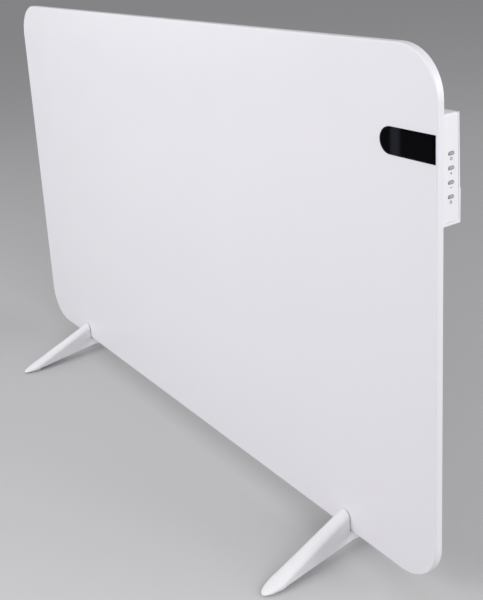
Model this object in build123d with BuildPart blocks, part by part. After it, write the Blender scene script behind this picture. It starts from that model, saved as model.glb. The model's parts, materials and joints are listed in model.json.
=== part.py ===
from build123d import *
from math import cos, radians, sin
import os

os.makedirs("parts", exist_ok=True)

# An infrared panel heater on two feet. Millimetres, +Z up, the front faces -Y, the floor is Z = 0
# and the middle of the glass plate is Y = 0.

# Glass plate
panel_width = 570
panel_height = 340
panel_thickness = 6
panel_corner = 30
panel_arris = 1
back_arris = 0.8
floor_gap = 18
panel_front = -panel_thickness / 2
panel_back = panel_thickness / 2
panel_middle = floor_gap + panel_height / 2

# Display lens on the front of the plate
lens_radius = 8.25
lens_arc_x = 249.3
lens_right = panel_width / 2 - panel_arris
lens_z = 301.5
lens_thickness = 1
lens_bevel_width = 1.3
lens_bevel_depth = 0.6

# Rear casing, a folded sheet tray behind the plate
casing_inset = 22
casing_width = panel_width - 2 * casing_inset
casing_height = panel_height - 2 * casing_inset
casing_corner = 12
casing_edge = 2.5
casing_sheet = 0.8
casing_front = 3.6
casing_back = 23
casing_inner_back = casing_back - casing_sheet
flange_width = 12

# Control box behind the plate's upper right
box_left = 190
box_right = 270
box_bottom = 249
box_top = 315.6
box_front = 3.5
box_back = 32
box_lean = 1.75
terminal_top = 270
terminal_back = box_back + box_lean
box_wall = 2.2
cover_wall = 1.8
cover_floor = 1.8
box_edge = 1.4
seam_depth = 0.5
seam_width = 0.4
shell_bottom = box_bottom + cover_floor
shell_back = box_back - cover_wall
shell_floor_y = box_front + box_wall
bay_gap = 0.6
bay_left = box_left - bay_gap
bay_bottom = box_bottom - bay_gap
bay_top = box_top + bay_gap

# Heating element and what lies behind it
element_thickness = 0.4
track_thickness = 0.3
track_width = 8
track_pitch = 24
track_first = -228
track_runs = 20
track_low = 68
track_high = 308
track_high_short = 222
track_back = panel_back + element_thickness + track_thickness
reflector_front = 5
reflector_thickness = 0.5
insulation_front = reflector_front + reflector_thickness
insulation_thickness = 10
insulation_back = insulation_front + insulation_thickness
element_margin = 16
sheet_margin = 14

# Studs bonded to the glass carry the sheets and the casing
stud_spots = [(-216, 80), (216, 80), (-216, 288), (144, 288)]
stud_foot = 14
stud_radius = 3.5
stud_bore_radius = 2.1
stud_bore_depth = 11
stud_gap = 0.5
stud_window = 2 * (stud_radius + stud_gap)

# Push buttons in the side face, from the top one down
button_names = ["mode", "plus", "minus", "power"]
button_pitch = 8.65
button_y = 24.7
button_middle = 279.3
button_length = 4.7
button_width = 2
button_gap = 0.2
button_proud = 0.6
button_flange_length = 7.6
button_flange_width = 4.8
button_flange = 0.8
button_edge = 0.3
button_rest_gap = 0.1
switch_body = 4.5
switch_height = 2.1

# Feet
foot_x = 201.5
foot_length = 76.6
root_width = 9.6
toe_width = 12.7
nose_length = 16.4
nose_turns = (0, 28, 50, 68, 82)
root_sole = 8.9
toe_sole = 0.8
root_ridge = 33.9
toe_ridge = 2.4
crown_share = 0.6
sole_bevel = 0.8
foot_screw_bore = 1.3
liner_thickness = 0.6
liner_inset = 0.8
liner_height = 9
pad_length = 10
pad_width = 6
pad_y = 66
pad_thickness = 2.9


def upright(y):
    """An upright sketch plane at depth y: local x is X, local y is Z, and it faces the front."""
    return Plane.XZ.offset(-y)


def back_at(z):
    """Depth of the control box's rear face, which leans back from the box's top to its bottom."""
    return box_back + box_lean * (box_top - z) / (box_top - box_bottom)


def tray_outline(inset):
    """The casing's outline drawn smaller by an inset, with the open bay for the control box."""
    with BuildSketch() as outline:
        with Locations((0, panel_middle)):
            RectangleRounded(casing_width, casing_height, casing_corner)
        with Locations((bay_left, bay_bottom)):
            Rectangle(
                casing_width,
                bay_top - bay_bottom,
                align=(Align.MIN, Align.MIN),
                mode=Mode.SUBTRACT,
            )
        if inset > 0:
            offset(amount=-inset, kind=Kind.INTERSECTION)
    return outline.sketch


def sheet_outline(margin):
    """The L-shaped outline of the inner sheets, which leave the control box's corner free."""
    with BuildSketch() as outline:
        with Locations((0, panel_middle)):
            Rectangle(casing_width - 2 * margin, casing_height - 2 * margin)
        with Locations((bay_left - margin, bay_bottom - margin)):
            Rectangle(casing_width, casing_height, align=(Align.MIN, Align.MIN), mode=Mode.SUBTRACT)
    return outline.sketch


# Glass plate with a rounded front arris and a bevelled rear one
with BuildPart() as glass_panel:
    with BuildSketch(upright(panel_back)):
        with Locations((0, panel_middle)):
            RectangleRounded(panel_width, panel_height, panel_corner)
    extrude(amount=panel_thickness)
    fillet(glass_panel.faces().sort_by(Axis.Y)[0].edges(), radius=panel_arris)
    chamfer(glass_panel.faces().sort_by(Axis.Y)[-1].edges(), length=back_arris)
glass_panel.part.label = "glass_panel"
export_step(glass_panel.part, "parts/glass_panel.step")

# D-shaped display lens with a bevelled rim
with BuildPart() as display_lens:
    with BuildSketch(upright(panel_front)):
        with BuildLine():
            top_line = Line((lens_right, lens_z + lens_radius), (lens_arc_x, lens_z + lens_radius))
            round_end = ThreePointArc(
                top_line @ 1,
                (lens_arc_x - lens_radius, lens_z),
                (lens_arc_x, lens_z - lens_radius),
            )
            bottom_line = Line(round_end @ 1, (lens_right, lens_z - lens_radius))
            Line(bottom_line @ 1, top_line @ 0)
        make_face()
    extrude(amount=lens_thickness)
    lens_face = display_lens.faces().sort_by(Axis.Y)[0]
    chamfer(lens_face.edges(), length=lens_bevel_width, length2=lens_bevel_depth, reference=lens_face)
display_lens.part.label = "display_lens"
export_step(display_lens.part, "parts/display_lens.step")

# Carrier film of the heating element
with BuildPart() as element_film:
    with BuildSketch(upright(panel_back)):
        add(sheet_outline(element_margin))
        with Locations(*stud_spots):
            Rectangle(stud_foot + 2 * stud_gap, stud_foot + 2 * stud_gap, mode=Mode.SUBTRACT)
    extrude(amount=-element_thickness)
element_film.part.label = "element_film"
export_step(element_film.part, "parts/element_film.step")

# Heating track: upright runs joined in turn at the bottom and at the top
run_places = [track_first + track_pitch * run for run in range(track_runs)]


def run_top(x):
    """Runs beside the control box's corner are shorter."""
    return track_high if x < bay_left - element_margin - track_width else track_high_short


with BuildPart() as heating_track:
    with BuildSketch(upright(panel_back + element_thickness)):
        for run, x in enumerate(run_places):
            with Locations((x, (track_low + run_top(x)) / 2)):
                Rectangle(track_width, run_top(x) - track_low + track_width)
            if run < track_runs - 1:
                link_z = track_low if run % 2 == 0 else run_top(x)
                with Locations((x + track_pitch / 2, link_z)):
                    Rectangle(track_pitch, track_width)
    extrude(amount=-track_thickness)
heating_track.part.label = "heating_track"
export_step(heating_track.part, "parts/heating_track.step")

# Holes that the reflector and the insulation share
terminal_spots = [(run_places[0], track_high), (run_places[-1], track_high_short)]
terminal_window = 10
cutout_spot = (60, 190)
cutout_radius = 6
cap_radius = 7.5
strap_length = 40
strap_width = 14
strap_room = 4

with BuildPart() as reflector_plate:
    with BuildSketch(upright(reflector_front)):
        add(sheet_outline(sheet_margin))
        with Locations(*stud_spots):
            Rectangle(stud_window, stud_window, mode=Mode.SUBTRACT)
        with Locations(*terminal_spots):
            Rectangle(terminal_window, terminal_window, mode=Mode.SUBTRACT)
        with Locations(cutout_spot):
            Rectangle(2 * cap_radius + stud_gap, 2 * cap_radius + stud_gap, mode=Mode.SUBTRACT)
    extrude(amount=-reflector_thickness)
reflector_plate.part.label = "reflector_plate"
export_step(reflector_plate.part, "parts/reflector_plate.step")

with BuildPart() as insulation_board:
    with BuildSketch(upright(insulation_front)):
        add(sheet_outline(sheet_margin))
        with Locations(*stud_spots):
            Rectangle(stud_window, stud_window, mode=Mode.SUBTRACT)
        with Locations(*terminal_spots):
            Rectangle(terminal_window, terminal_window, mode=Mode.SUBTRACT)
        with Locations(cutout_spot):
            Rectangle(strap_length + strap_room, strap_width + strap_room, mode=Mode.SUBTRACT)
    extrude(amount=-insulation_thickness)
insulation_board.part.label = "insulation_board"
export_step(insulation_board.part, "parts/insulation_board.step")

# Studs: a square bonded foot, a hexagonal spacer and a blind bore for the casing screw
with BuildPart() as panel_studs:
    with BuildSketch(upright(panel_back)):
        with Locations(*stud_spots):
            Rectangle(stud_foot, stud_foot)
    extrude(amount=-(reflector_front - panel_back))
    with BuildSketch(upright(reflector_front)):
        with Locations(*stud_spots):
            RegularPolygon(stud_radius, 6)
    extrude(amount=-(casing_inner_back - reflector_front))
    with BuildSketch(upright(casing_inner_back)):
        with Locations(*stud_spots):
            Circle(stud_bore_radius)
    extrude(amount=stud_bore_depth, mode=Mode.SUBTRACT)
panel_studs.part.label = "panel_studs"
export_step(panel_studs.part, "parts/panel_studs.step")

# Square push-on washers with hexagonal holes hold the insulation on the studs
washer_thickness = 0.6
washer_side = 17
washer_gap = 0.1
with BuildPart() as stud_washers:
    with BuildSketch(upright(insulation_back)):
        with Locations(*stud_spots):
            Rectangle(washer_side, washer_side)
            RegularPolygon(stud_radius + washer_gap, 6, mode=Mode.SUBTRACT)
    extrude(amount=-washer_thickness)
stud_washers.part.label = "stud_washers"
export_step(stud_washers.part, "parts/stud_washers.step")

# Gasket between the casing's flange and the glass
gasket_edge = 1
with BuildPart() as casing_gasket:
    with BuildSketch(upright(panel_back)):
        add(tray_outline(gasket_edge))
        add(tray_outline(flange_width - gasket_edge), mode=Mode.SUBTRACT)
    extrude(amount=-(casing_front - panel_back))
casing_gasket.part.label = "casing_gasket"
export_step(casing_gasket.part, "parts/casing_gasket.step")

# Rear casing: hollow tray with an inward flange, convection slots, screw holes and wall slots
vent_pitch = 84
vent_width = 5
vent_length = 66
vent_rows = 2
vent_row_pitch = 12
vent_low_z = 58
vent_high_z = 318
vent_reach = 2
end_vent_length = 60
end_vent_width = 6
wall_slot_spacing_x = 300
wall_slot_spacing_z = 100
wall_slot_length = 16
wall_slot_width = 5.5
grommet_y = 16.4
grommet_z = 268
grommet_hole_radius = 3.4
screw_clearance = 0.2
vent_places = [vent_pitch * step for step in range(-vent_reach, vent_reach + 1)]
high_vent_places = [x for x in vent_places if x < bay_left - vent_pitch / 2]
vent_spots = []
for row in range(vent_rows):
    vent_spots += [(x, vent_low_z + row * vent_row_pitch) for x in vent_places]
    vent_spots += [(x, vent_high_z - row * vent_row_pitch) for x in high_vent_places]

with BuildPart() as rear_casing:
    with BuildSketch(upright(casing_front)):
        add(tray_outline(0))
    extrude(amount=-(casing_back - casing_front))
    fillet(rear_casing.faces().sort_by(Axis.Y)[-1].edges(), radius=casing_edge)
    offset(amount=-casing_sheet, openings=rear_casing.faces().sort_by(Axis.Y)[0])
    with BuildSketch(upright(casing_front)):
        add(tray_outline(0))
        add(tray_outline(flange_width), mode=Mode.SUBTRACT)
    extrude(amount=-casing_sheet)
    with BuildSketch(upright(casing_back)):
        with Locations(*vent_spots):
            Rectangle(vent_length, vent_width)
        with Locations((0, panel_middle)):
            with GridLocations(wall_slot_spacing_x, wall_slot_spacing_z, 2, 2):
                SlotOverall(wall_slot_length, wall_slot_width)
        with Locations(*stud_spots):
            Circle(stud_bore_radius + screw_clearance)
    extrude(amount=2 * casing_sheet, mode=Mode.SUBTRACT)
    with BuildSketch(Plane.XY.offset(floor_gap)):
        with Locations(*[(x, (casing_front + casing_back) / 2) for x in vent_places]):
            Rectangle(end_vent_length, end_vent_width)
    extrude(amount=panel_height, mode=Mode.SUBTRACT)
    with BuildSketch(Plane.YZ.offset(bay_left)):
        with Locations((grommet_y, grommet_z)):
            Circle(grommet_hole_radius)
    extrude(amount=-2 * casing_sheet, mode=Mode.SUBTRACT)
rear_casing.part.label = "rear_casing"
export_step(rear_casing.part, "parts/rear_casing.step")

# Casing screws, pan heads
screw_head_radius = 4
screw_head_height = 2.2
screw_thread_gap = 0.15
shank_sides = 6
screw_reach = 10
with BuildPart() as casing_screws:
    with BuildSketch(upright(casing_back)):
        with Locations(*stud_spots):
            Circle(screw_head_radius)
    extrude(amount=-screw_head_height)
    with BuildSketch(upright(casing_back)):
        with Locations(*stud_spots):
            RegularPolygon(stud_bore_radius - screw_thread_gap, shank_sides)
    extrude(amount=screw_reach)
casing_screws.part.label = "casing_screws"
export_step(casing_screws.part, "parts/casing_screws.step")

# Overheat cut-out: a cap on the heating track, a round body and two blades
cap_back = 6.5
cutout_back = 12
blade_spacing = 8
blade_thickness = 0.8
blade_width = 5
blade_back = 20
with BuildPart() as overheat_cutout:
    with BuildSketch(upright(track_back)):
        with Locations(cutout_spot):
            Circle(cap_radius)
    extrude(amount=-(cap_back - track_back))
    with BuildSketch(upright(cap_back)):
        with Locations(cutout_spot):
            Circle(cutout_radius)
    extrude(amount=-(cutout_back - cap_back))
    with BuildSketch(upright(cutout_back)):
        with Locations(cutout_spot):
            with GridLocations(blade_spacing, 0, 2, 1):
                Rectangle(blade_thickness, blade_width)
    extrude(amount=-(blade_back - cutout_back))
overheat_cutout.part.label = "overheat_cutout"
export_step(overheat_cutout.part, "parts/overheat_cutout.step")

# Joggled strap that presses the cut-out on the element
strap_thickness = 0.6
strap_step = cap_radius + 1.5
strap_slope = 1
strap_gap = 0.2
with BuildPart() as cutout_strap:
    with BuildSketch(Plane.XY.offset(cutout_spot[1] - strap_width / 2)):
        with BuildLine():
            Polyline(
                (cutout_spot[0] - strap_length / 2, insulation_front + strap_thickness / 2),
                (cutout_spot[0] - strap_step - strap_slope, insulation_front + strap_thickness / 2),
                (cutout_spot[0] - strap_step, cap_back + strap_thickness / 2),
                (cutout_spot[0] + strap_step, cap_back + strap_thickness / 2),
                (cutout_spot[0] + strap_step + strap_slope, insulation_front + strap_thickness / 2),
                (cutout_spot[0] + strap_length / 2, insulation_front + strap_thickness / 2),
            )
        trace(line_width=strap_thickness)
    extrude(amount=strap_width)
    with BuildSketch(upright(cutout_back)):
        with Locations(cutout_spot):
            Circle(cutout_radius + strap_gap)
    extrude(amount=cutout_back - reflector_front, mode=Mode.SUBTRACT)
cutout_strap.part.label = "cutout_strap"
export_step(cutout_strap.part, "parts/cutout_strap.step")

# Control box: the front shell has the front frame, the top and both sides, the cover has the rest
box_middle_x = (box_left + box_right) / 2
box_width = box_right - box_left
box_height = box_top - box_bottom
seam_plane = Plane(
    origin=(box_middle_x, shell_back, box_top), x_dir=(-1, 0, 0), z_dir=(0, box_height, box_lean)
)
boss_spots = [(195, 256), (265, 256), (195, 310.6), (265, 310.6)]
boss_radius = 3
boss_bore_radius = 1.3
window_spot = (251, lens_z)
window_gap = 0.5
module_length = 20
module_height = 11
display_board_front = 8.6
board_thickness = 1.6
display_post_spots = [(224.5, 302)]
power_board_front = 12
power_post_spots = [(215, 308), (255, 281)]
post_side = 4.4
post_bore_radius = 0.9
button_top = button_middle + button_pitch * (len(button_names) - 1) / 2
button_places = [button_top - button_pitch * place for place in range(len(button_names))]
button_spots = [(button_y, z) for z in button_places]

with BuildPart() as control_shell:
    with BuildSketch(upright(box_front)):
        with Locations((box_middle_x, shell_bottom)):
            Rectangle(box_width, box_top - shell_bottom, align=(Align.CENTER, Align.MIN))
    extrude(amount=-(terminal_back - box_front))
    fillet(control_shell.edges().filter_by(Axis.Y).group_by(Axis.Z)[-1], radius=box_edge)
    with BuildSketch(upright(terminal_back)):
        with Locations((box_middle_x, shell_bottom)):
            Rectangle(
                box_width - 2 * box_wall,
                box_top - shell_bottom - box_wall,
                align=(Align.CENTER, Align.MIN),
            )
    extrude(amount=terminal_back - shell_floor_y, mode=Mode.SUBTRACT)
    with BuildSketch(upright(shell_floor_y)):
        with Locations(*boss_spots):
            Circle(boss_radius)
    extrude(amount=-(terminal_back - shell_floor_y))
    for spots, board_front in (
        (display_post_spots, display_board_front),
        (power_post_spots, power_board_front),
    ):
        with BuildSketch(upright(shell_floor_y)):
            with Locations(*spots):
                Rectangle(post_side, post_side)
        extrude(amount=-(board_front - shell_floor_y))
        with BuildSketch(upright(board_front)):
            with Locations(*spots):
                Circle(post_bore_radius)
        extrude(amount=board_front - shell_floor_y, mode=Mode.SUBTRACT)
    with BuildSketch(upright(terminal_back)):
        with Locations(*boss_spots):
            Circle(boss_bore_radius)
    extrude(amount=terminal_back - shell_floor_y, mode=Mode.SUBTRACT)
    split(bisect_by=seam_plane, keep=Keep.BOTTOM)
    with BuildSketch(seam_plane):
        Rectangle(box_width, 2 * box_height)
        with Locations((0, -seam_depth)):
            Rectangle(
                box_width - 2 * seam_depth,
                2 * box_height,
                align=(Align.CENTER, Align.MAX),
                mode=Mode.SUBTRACT,
            )
    extrude(amount=-seam_width, mode=Mode.SUBTRACT)
    with BuildSketch(Plane.XY.offset(shell_bottom)):
        with Locations((box_middle_x, box_back)):
            Rectangle(box_width, 2 * box_back)
            Rectangle(box_width - 2 * seam_depth, 2 * box_back, mode=Mode.SUBTRACT)
    extrude(amount=seam_width, mode=Mode.SUBTRACT)
    with BuildSketch(upright(shell_floor_y)):
        with Locations(window_spot):
            Rectangle(module_length + 2 * window_gap, module_height + 2 * window_gap)
    extrude(amount=box_wall, mode=Mode.SUBTRACT)
    with BuildSketch(Plane.YZ.offset(box_right)):
        with Locations(*button_spots):
            SlotOverall(button_length + 2 * button_gap, button_width + 2 * button_gap)
    extrude(amount=-box_wall, mode=Mode.SUBTRACT)
    with BuildSketch(Plane.YZ.offset(box_left)):
        with Locations((grommet_y, grommet_z)):
            Circle(grommet_hole_radius)
    extrude(amount=box_wall, mode=Mode.SUBTRACT)
control_shell.part.label = "control_shell"
export_step(control_shell.part, "parts/control_shell.step")

# Control cover: rear wall and floor in one L-shaped moulding, with the cord inlet's hole and vents.
# The rear wall leans back, and its foot is an upright terminal face a little proud of it. A narrow
# groove marks the seam with the shell, and three lips locate the cover inside the shell's walls.
inlet_spot = (207, 262.5)
inlet_radius = 6
inlet_gap = 0.15
inlet_seat = 31.2
inlet_seat_radius = 10
lip_thickness = 1.2
lip_depth = 2
lip_gap = 0.2
top_lip = 50
left_lip = 36
right_lip = 8
right_lip_z = 301
cover_hole_radius = 1.6
counterbore_radius = 3
counterbore_depth = 1
floor_vents = 7
floor_vent_pitch = 4.2
floor_vent_length = 14
floor_vent_width = 1.8
sensor_x = 242
sensor_y = 17


def screw_face(z):
    """Depth of the cover's outer face round a screw at height z."""
    return terminal_back if z < terminal_top else back_at(z - counterbore_radius)


def terminal_face():
    """The upright face at the foot of the cover's rear wall, with the wall's own rounding."""
    with BuildPart() as face:
        with BuildSketch(upright(terminal_back)):
            with Locations((box_middle_x, box_bottom)):
                Rectangle(box_width, terminal_top - box_bottom, align=(Align.CENTER, Align.MIN))
        extrude(amount=box_lean)
        fillet(face.faces().sort_by(Axis.Y)[-1].edges().sort_by(Axis.Z)[:-1], radius=box_edge)
    return face.part


with BuildPart() as control_cover:
    with BuildSketch(Plane.YZ.offset(box_left)):
        with BuildLine():
            Polyline(
                (box_front, box_bottom),
                (box_back, box_bottom),
                (box_back, terminal_top),
                (back_at(terminal_top), terminal_top),
                (box_back, box_top),
                (shell_back, box_top),
                (back_at(shell_bottom) - cover_wall, shell_bottom),
                (box_front, shell_bottom),
                close=True,
            )
        make_face()
    extrude(amount=box_width)
    leaning_face = control_cover.faces().sort_by(Axis.Y)[-1]
    fillet(leaning_face.edges().sort_by(Axis.Z)[1:], radius=box_edge)
    add(terminal_face())
    with BuildSketch(upright(box_back)):
        with Locations((box_middle_x, box_top - box_wall - lip_gap)):
            Rectangle(top_lip, lip_thickness, align=(Align.CENTER, Align.MAX))
        with Locations((box_left + box_wall + lip_gap, (box_top + box_bottom) / 2)):
            Rectangle(lip_thickness, left_lip, align=(Align.MIN, Align.CENTER))
        with Locations((box_right - box_wall - lip_gap, right_lip_z)):
            Rectangle(lip_thickness, right_lip, align=(Align.MAX, Align.CENTER))
    extrude(amount=cover_wall + lip_depth)
    with BuildSketch(upright(box_back)):
        with Locations(inlet_spot):
            Circle(inlet_seat_radius)
    extrude(amount=box_back - inlet_seat)
    with BuildSketch(upright(terminal_back)):
        with Locations(inlet_spot):
            Circle(inlet_radius + inlet_gap)
    extrude(amount=terminal_back - inlet_seat, mode=Mode.SUBTRACT)
    for x, z in boss_spots:
        with Locations(Plane(origin=(x, screw_face(z), z), z_dir=(0, 1, 0))):
            CounterBoreHole(
                cover_hole_radius, counterbore_radius, counterbore_depth, depth=2 * cover_wall
            )
    with BuildSketch(Plane.XY.offset(box_bottom)):
        with Locations((sensor_x, sensor_y)):
            with GridLocations(floor_vent_pitch, 0, floor_vents, 1):
                Rectangle(floor_vent_width, floor_vent_length)
    extrude(amount=cover_floor, mode=Mode.SUBTRACT)
control_cover.part.label = "control_cover"
export_step(control_cover.part, "parts/control_cover.step")

# Adhesive pad between the control box and the glass
pad_inset = 1
pad_band = 5
with BuildPart() as control_pad:
    with BuildSketch(upright(panel_back)):
        with Locations((box_middle_x, (shell_bottom + box_top) / 2)):
            Rectangle(box_width - 2 * pad_inset, box_top - shell_bottom - 2 * pad_inset)
            Rectangle(
                box_width - 2 * (pad_inset + pad_band),
                box_top - shell_bottom - 2 * (pad_inset + pad_band),
                mode=Mode.SUBTRACT,
            )
    extrude(amount=-(box_front - panel_back))
control_pad.part.label = "control_pad"
export_step(control_pad.part, "parts/control_pad.step")

# Control box screws, their heads sunk in the cover
control_screw_head_radius = 2.7
control_screw_head = 0.9
control_screw_reach = 12
tight_gap = 0.05
with BuildPart() as control_screws:
    for x, z in boss_spots:
        screw_seat = screw_face(z) - counterbore_depth
        with BuildSketch(upright(screw_seat)):
            with Locations((x, z)):
                Circle(control_screw_head_radius)
        extrude(amount=-control_screw_head)
        with BuildSketch(upright(screw_seat)):
            with Locations((x, z)):
                RegularPolygon(boss_bore_radius - tight_gap, shank_sides)
        extrude(amount=control_screw_reach)
control_screws.part.label = "control_screws"
export_step(control_screws.part, "parts/control_screws.step")

# Display module behind the glass, and its board on a post
module_front = 3.3
module_edge = 0.4
display_board_spot = (241.2, 302)
display_board_length = 40.6
display_board_height = 20.4
board_hole_radius = 1
with BuildPart() as display_module:
    with BuildSketch(upright(module_front)):
        with Locations(window_spot):
            Rectangle(module_length, module_height)
    extrude(amount=-(display_board_front - module_front))
    chamfer(display_module.faces().sort_by(Axis.Y)[0].edges(), length=module_edge)
display_module.part.label = "display_module"
export_step(display_module.part, "parts/display_module.step")

with BuildPart() as display_board:
    with BuildSketch(upright(display_board_front)):
        with Locations(display_board_spot):
            Rectangle(display_board_length, display_board_height)
        with Locations(*display_post_spots):
            Circle(board_hole_radius, mode=Mode.SUBTRACT)
    extrude(amount=-board_thickness)
display_board.part.label = "display_board"
export_step(display_board.part, "parts/display_board.step")

# Power board with its larger components
power_board_back = power_board_front + board_thickness
power_board_spot = (226.5, 294.8)
power_board_length = 65
power_board_height = 35
boss_notch = 2 * boss_radius + 2
with BuildPart() as power_board:
    with BuildSketch(upright(power_board_front)):
        with Locations(power_board_spot):
            Rectangle(power_board_length, power_board_height)
        with Locations(*boss_spots):
            Rectangle(boss_notch, boss_notch, mode=Mode.SUBTRACT)
        with Locations(*power_post_spots):
            Circle(board_hole_radius, mode=Mode.SUBTRACT)
    extrude(amount=-board_thickness)
power_board.part.label = "power_board"
export_step(power_board.part, "parts/power_board.step")

relay_spot = (238, 304)
relay_size = (19, 10, 12)
relay_edge = 0.6
with BuildPart() as relay:
    with BuildSketch(upright(power_board_back)):
        with Locations(relay_spot):
            Rectangle(relay_size[0], relay_size[1])
    extrude(amount=-relay_size[2])
    chamfer(relay.faces().sort_by(Axis.Y)[-1].edges(), length=relay_edge)
relay.part.label = "relay"
export_step(relay.part, "parts/relay.step")

# Transformer: a wound bobbin through a laminated core on a moulded base
transformer_spot = (207, 297)
base_side = 16
base_height = 2
core_size = (18, 13, 10)
winding_size = (13, 17, 8)
winding_corner = 3
winding_lift = 1
with BuildPart() as transformer:
    with BuildSketch(upright(power_board_back)):
        with Locations(transformer_spot):
            Rectangle(base_side, base_side)
    extrude(amount=-base_height)
    with BuildSketch(upright(power_board_back + base_height)):
        with Locations(transformer_spot):
            Rectangle(core_size[0], core_size[1])
    extrude(amount=-core_size[2])
    with BuildSketch(upright(power_board_back + base_height + winding_lift)):
        with Locations(transformer_spot):
            RectangleRounded(winding_size[0], winding_size[1], winding_corner)
    extrude(amount=-winding_size[2])
transformer.part.label = "transformer"
export_step(transformer.part, "parts/transformer.step")

# Terminal block with three clamping holes below and three screw wells behind
terminal_block_spot = (226, 283)
terminals = 3
terminal_pitch = 6
terminal_size = (18, 9, 11)
clamp_side = 3.8
clamp_depth = 5
well_side = 3.6
well_depth = 3
with BuildPart() as terminal_block:
    with BuildSketch(upright(power_board_back)):
        with Locations(terminal_block_spot):
            Rectangle(terminal_size[0], terminal_size[1])
    extrude(amount=-terminal_size[2])
    with BuildSketch(Plane.XY.offset(terminal_block_spot[1] - terminal_size[1] / 2)):
        with Locations((terminal_block_spot[0], power_board_back + clamp_side)):
            with GridLocations(terminal_pitch, 0, terminals, 1):
                Rectangle(clamp_side, clamp_side)
    extrude(amount=clamp_depth, mode=Mode.SUBTRACT)
    with BuildSketch(upright(power_board_back + terminal_size[2])):
        with Locations(terminal_block_spot):
            with GridLocations(terminal_pitch, 0, terminals, 1):
                Rectangle(well_side, well_side)
    extrude(amount=well_depth, mode=Mode.SUBTRACT)
terminal_block.part.label = "terminal_block"
export_step(terminal_block.part, "parts/terminal_block.step")

# Tip-over switch: a round can on a foot
tilt_spot = (252, 288)
tilt_radius = 3.4
tilt_height = 9
tilt_offset = 4
tilt_foot_width = 3
tilt_foot_height = 6
with BuildPart() as tilt_switch:
    with BuildSketch(Plane.XY.offset(tilt_spot[1])):
        with Locations((tilt_spot[0], power_board_back + tilt_offset)):
            Circle(tilt_radius)
    extrude(amount=tilt_height)
    with BuildSketch(upright(power_board_back)):
        with Locations((tilt_spot[0], tilt_spot[1] + tilt_height / 2)):
            Rectangle(tilt_foot_width, tilt_foot_height)
    extrude(amount=-tilt_offset / 2)
tilt_switch.part.label = "tilt_switch"
export_step(tilt_switch.part, "parts/tilt_switch.step")

# Wireless module: a small board with a shield can
wireless_spot = (243, 290)
wireless_side = 12
wireless_board = 1
can_spot = (243, 288.5)
can_size = (10, 8, 2.2)
with BuildPart() as wireless_module:
    with BuildSketch(upright(power_board_back)):
        with Locations(wireless_spot):
            Rectangle(wireless_side, wireless_side)
    extrude(amount=-wireless_board)
    with BuildSketch(upright(power_board_back + wireless_board)):
        with Locations(can_spot):
            Rectangle(can_size[0], can_size[1])
    extrude(amount=-can_size[2])
wireless_module.part.label = "wireless_module"
export_step(wireless_module.part, "parts/wireless_module.step")

# Small hexagon-headed screws that hold both boards on their posts
board_screw_head_radius = 1.7
board_screw_head = 1.2
board_screw_reach = 4
with BuildPart() as board_screws:
    for spots, seat in (
        (display_post_spots, display_board_front + board_thickness),
        (power_post_spots, power_board_back),
    ):
        with BuildSketch(upright(seat)):
            with Locations(*spots):
                RegularPolygon(board_screw_head_radius, 6)
        extrude(amount=-board_screw_head)
        with BuildSketch(upright(seat)):
            with Locations(*spots):
                RegularPolygon(post_bore_radius - tight_gap, shank_sides)
        extrude(amount=board_screw_reach)
board_screws.part.label = "board_screws"
export_step(board_screws.part, "parts/board_screws.step")

# Switch board beside the buttons, with four tact switches that have square stems
stem_height = 1
switch_top_x = box_right - box_wall - button_rest_gap - button_flange - stem_height
switch_board_x = switch_top_x - switch_height
switch_board_y = 19.5
switch_board_width = 17
switch_board_height = 40
stem_side = 2.2
stem_depth = 1
stem_well_side = 2.7
stem_well_depth = 1.8
with BuildPart() as switch_board:
    with BuildSketch(Plane.YZ.offset(switch_board_x)):
        with Locations((switch_board_y, button_middle)):
            Rectangle(switch_board_width, switch_board_height)
    extrude(amount=-board_thickness)
switch_board.part.label = "switch_board"
export_step(switch_board.part, "parts/switch_board.step")

with BuildPart() as tact_switches:
    with BuildSketch(Plane.YZ.offset(switch_board_x)):
        with Locations(*button_spots):
            Rectangle(switch_body, switch_body)
    extrude(amount=switch_height)
    with BuildSketch(Plane.YZ.offset(switch_top_x)):
        with Locations(*button_spots):
            Rectangle(stem_well_side, stem_well_side)
    extrude(amount=-stem_well_depth, mode=Mode.SUBTRACT)
tact_switches.part.label = "tact_switches"
export_step(tact_switches.part, "parts/tact_switches.step")

# Push buttons, each with a flange behind the wall, and the switch stems that they press
flange_x = box_right - box_wall - button_rest_gap
for name, z in zip(button_names, button_places):
    with BuildPart() as button:
        with BuildSketch(Plane.YZ.offset(flange_x - button_flange)):
            with Locations((button_y, z)):
                Rectangle(button_flange_length, button_flange_width)
        extrude(amount=button_flange)
        with BuildSketch(Plane.YZ.offset(flange_x)):
            with Locations((button_y, z)):
                SlotOverall(button_length, button_width)
        extrude(amount=box_right + button_proud - flange_x)
        chamfer(button.faces().sort_by(Axis.X)[-1].edges(), length=button_edge)
    button.part.label = f"{name}_button"
    export_step(button.part, f"parts/{name}_button.step")

    with BuildPart() as stem:
        with BuildSketch(Plane.YZ.offset(flange_x - button_flange)):
            with Locations((button_y, z)):
                Rectangle(stem_side, stem_side)
        extrude(amount=-(stem_height + stem_depth))
    stem.part.label = f"{name}_switch_stem"
    export_step(stem.part, f"parts/{name}_switch_stem.step")

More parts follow.
